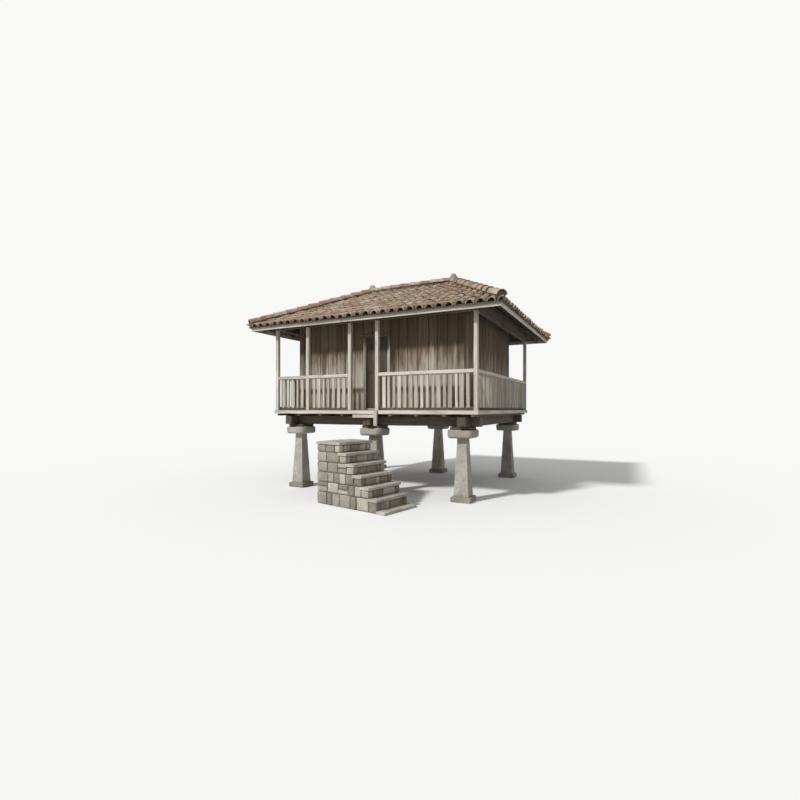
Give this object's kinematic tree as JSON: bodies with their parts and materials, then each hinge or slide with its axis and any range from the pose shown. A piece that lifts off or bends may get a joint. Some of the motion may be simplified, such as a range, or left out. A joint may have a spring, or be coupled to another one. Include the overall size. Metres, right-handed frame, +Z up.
{
  "type": "raised granary",
  "caption": "Plank-walled granary with an open gallery all round, raised on tapering stone pillars with flat cap stones under a hipped tiled roof, with a detached stone stair.",
  "frame": {"origin": "on the ground at the middle of the whole footprint, stair included", "axes": "+Z up, +X to the right along the front, +Y from the front with the entrance and stair to the back"},
  "size_m": [6.946, 7.262, 5.975],
  "materials": {
    "pillar_stone": "weathered dressed sandstone, with tool marks and lichen",
    "stair_rubble": "rough coursed rubble with open joints",
    "tread_slabs": "worn flat slabs",
    "roof_tile": "old unglazed curved clay tiles",
    "wall_plank": "weathered upright planks",
    "door_plank": "dark weathered planks",
    "pale_timber": "silver-grey weathered timber",
    "frame_timber": "rough-sawn brown-grey timber"
  },
  "bodies": {
    "granary": {"back_wall": "wall_plank", "bearing_blocks": "frame_timber", "cap_stones": "pillar_stone", "corner_posts": "wall_plank", "cross_beams": "frame_timber", "door_head": "pale_timber", "door_jambs": "pale_timber", "door_sill": "pale_timber", "eave_boards": "pale_timber", "finials": "roof_tile", "floor": "frame_timber", "floor_edge_boards": "pale_timber", "floor_joists": "frame_timber", "foot_stones": "pillar_stone", "front_and_back_plates": "frame_timber", "front_wall_left": "wall_plank", "front_wall_over_door": "wall_plank", "front_wall_right": "wall_plank", "gallery_posts_back": "pale_timber", "gallery_posts_front": "pale_timber", "left_wall": "wall_plank", "long_eave_beams": "frame_timber", "main_beams": "frame_timber", "pillars_back": "pillar_stone", "pillars_front": "pillar_stone", "rafters_back": "frame_timber", "rafters_front": "frame_timber", "rafters_left": "frame_timber", "rafters_right": "frame_timber", "railing_back": "pale_timber", "railing_front_left": "pale_timber", "railing_front_right": "pale_timber", "railing_left": "pale_timber", "railing_right": "pale_timber", "ridge_and_hip_rafters": "frame_timber", "ridge_and_hip_tiles": "roof_tile", "right_wall": "wall_plank", "roof_boards_back": "frame_timber", "roof_boards_front": "frame_timber", "roof_boards_left": "frame_timber", "roof_boards_right": "frame_timber", "short_eave_beams": "frame_timber", "side_plates": "frame_timber", "stair_masonry": "stair_rubble", "stair_treads": "tread_slabs", "tiles_back": "roof_tile", "tiles_front": "roof_tile", "tiles_left": "roof_tile", "tiles_right": "roof_tile"},
    "door": {"door": "door_plank"}
  },
  "joints": [
    {"name": "door_hinge", "type": "hinge", "parent": "granary", "child": "door", "pos_m": [0.339, -1.50897, 2.15], "axis": [0, 0, -1], "range_deg": [0, 90]}
  ]
}
